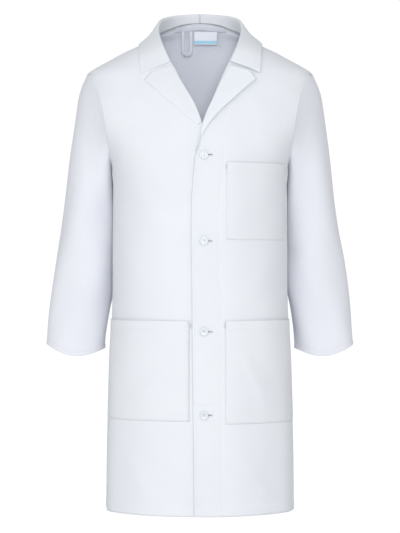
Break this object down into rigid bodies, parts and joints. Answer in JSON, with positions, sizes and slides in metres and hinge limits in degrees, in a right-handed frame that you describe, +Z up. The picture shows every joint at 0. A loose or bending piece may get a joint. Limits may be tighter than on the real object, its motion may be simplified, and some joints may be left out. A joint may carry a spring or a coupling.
{
  "type": "lab coat",
  "caption": "Knee-length white lab coat with notch lapels, buttoned front, chest and lower patch pockets, long sleeves with plain cuffs and a hanger loop inside the neck.",
  "frame": {"origin": "on the coat's centre line, level with the seam that joins the collar to the back", "axes": "+Z up, the coat faces -Y, +X is the wearer's left"},
  "size_m": [0.656, 0.3143, 1.0528],
  "materials": {
    "white_twill": "fine polycotton twill, matt",
    "interlining": "fused interlining, matt",
    "sewing_thread": "spun polyester thread",
    "button_plastic": "polyester resin, satin gloss",
    "woven_tape": "woven cotton tape",
    "label_cloth": "woven satin label, blank"
  },
  "bodies": {
    "torso": {"back_left": "white_twill", "back_right": "white_twill", "neck_tape": "woven_tape", "left_front_upper": "white_twill", "right_front_upper": "white_twill", "left_lapel_under": "white_twill", "left_lapel_top": "white_twill", "right_lapel_under": "white_twill", "right_lapel_top": "white_twill", "collar_stand": "white_twill", "under_collar": "white_twill", "collar_interlining": "interlining", "top_collar": "white_twill"},
    "left_front": {"left_front_lower": "white_twill", "left_buttonhole_band": "white_twill", "left_interlining": "interlining", "left_facing": "white_twill", "chest_pocket": "white_twill", "left_pocket": "white_twill", "chest_pocket_tack_front": "sewing_thread", "chest_pocket_tack_side": "sewing_thread", "left_pocket_tack": "sewing_thread", "buttonhole_1": "sewing_thread", "buttonhole_2": "sewing_thread", "buttonhole_3": "sewing_thread", "buttonhole_4": "sewing_thread"},
    "right_front": {"right_front_lower": "white_twill", "right_interlining": "interlining", "right_facing": "white_twill", "right_pocket": "white_twill", "right_pocket_tack": "sewing_thread"},
    "button_1": {"button_1": "button_plastic", "button_thread_1": "sewing_thread"},
    "button_2": {"button_2": "button_plastic", "button_thread_2": "sewing_thread"},
    "button_3": {"button_3": "button_plastic", "button_thread_3": "sewing_thread"},
    "button_4": {"button_4": "button_plastic", "button_thread_4": "sewing_thread"},
    "left_sleeve": {"left_sleeve": "white_twill"},
    "right_sleeve": {"right_sleeve": "white_twill"},
    "hanger_loop": {"hanger_loop": "woven_tape"},
    "neck_label": {"neck_label": "label_cloth"}
  },
  "joints": [
    {"name": "left_front_open", "type": "hinge", "parent": "torso", "child": "left_front", "pos_m": [0.1915, 0, -0.5], "axis": [-0.0166, 0, 0.9999], "range_deg": [0, 38], "deforming": ["left_buttonhole_band", "left_interlining", "left_facing", "buttonhole_1", "buttonhole_2", "buttonhole_3", "buttonhole_4"]},
    {"name": "right_front_open", "type": "hinge", "parent": "torso", "child": "right_front", "pos_m": [-0.1915, 0, -0.5], "axis": [-0.0166, 0, -0.9999], "range_deg": [0, 24.7]},
    {"name": "left_sleeve_raise", "type": "hinge", "parent": "torso", "child": "left_sleeve", "pos_m": [0.238, 0, -0.118], "axis": [0, -1, 0], "range_deg": [0, 45]},
    {"name": "right_sleeve_raise", "type": "hinge", "parent": "torso", "child": "right_sleeve", "pos_m": [-0.238, 0, -0.118], "axis": [0, 1, 0], "range_deg": [0, 45]},
    {"name": "hanger_loop_swing", "type": "hinge", "parent": "torso", "child": "hanger_loop", "pos_m": [-0.028, 0.0685, -0.017], "axis": [-1, 0, 0], "range_deg": [0, 90]},
    {"name": "neck_label_lift", "type": "hinge", "parent": "torso", "child": "neck_label", "pos_m": [0.012, 0.0687, -0.018], "axis": [-1, 0, 0], "range_deg": [0, 60]},
    {"name": "button_1_turn", "type": "hinge", "parent": "right_front", "child": "button_1", "pos_m": [0.008, -0.151, -0.296], "axis": [0, -1, 0], "range_deg": [-30, 30]},
    {"name": "button_2_turn", "type": "hinge", "parent": "right_front", "child": "button_2", "pos_m": [0.008, -0.1586, -0.472], "axis": [0, -1, 0], "range_deg": [-30, 30]},
    {"name": "button_3_turn", "type": "hinge", "parent": "right_front", "child": "button_3", "pos_m": [0.008, -0.1606, -0.657], "axis": [0, -1, 0], "range_deg": [-30, 30]},
    {"name": "button_4_turn", "type": "hinge", "parent": "right_front", "child": "button_4", "pos_m": [0.008, -0.1655, -0.827], "axis": [0, -1, 0], "range_deg": [-30, 30]}
  ],
  "couplings": [
    {"joint": "right_front_open", "follows": "left_front_open", "ratio": 0.65}
  ]
}
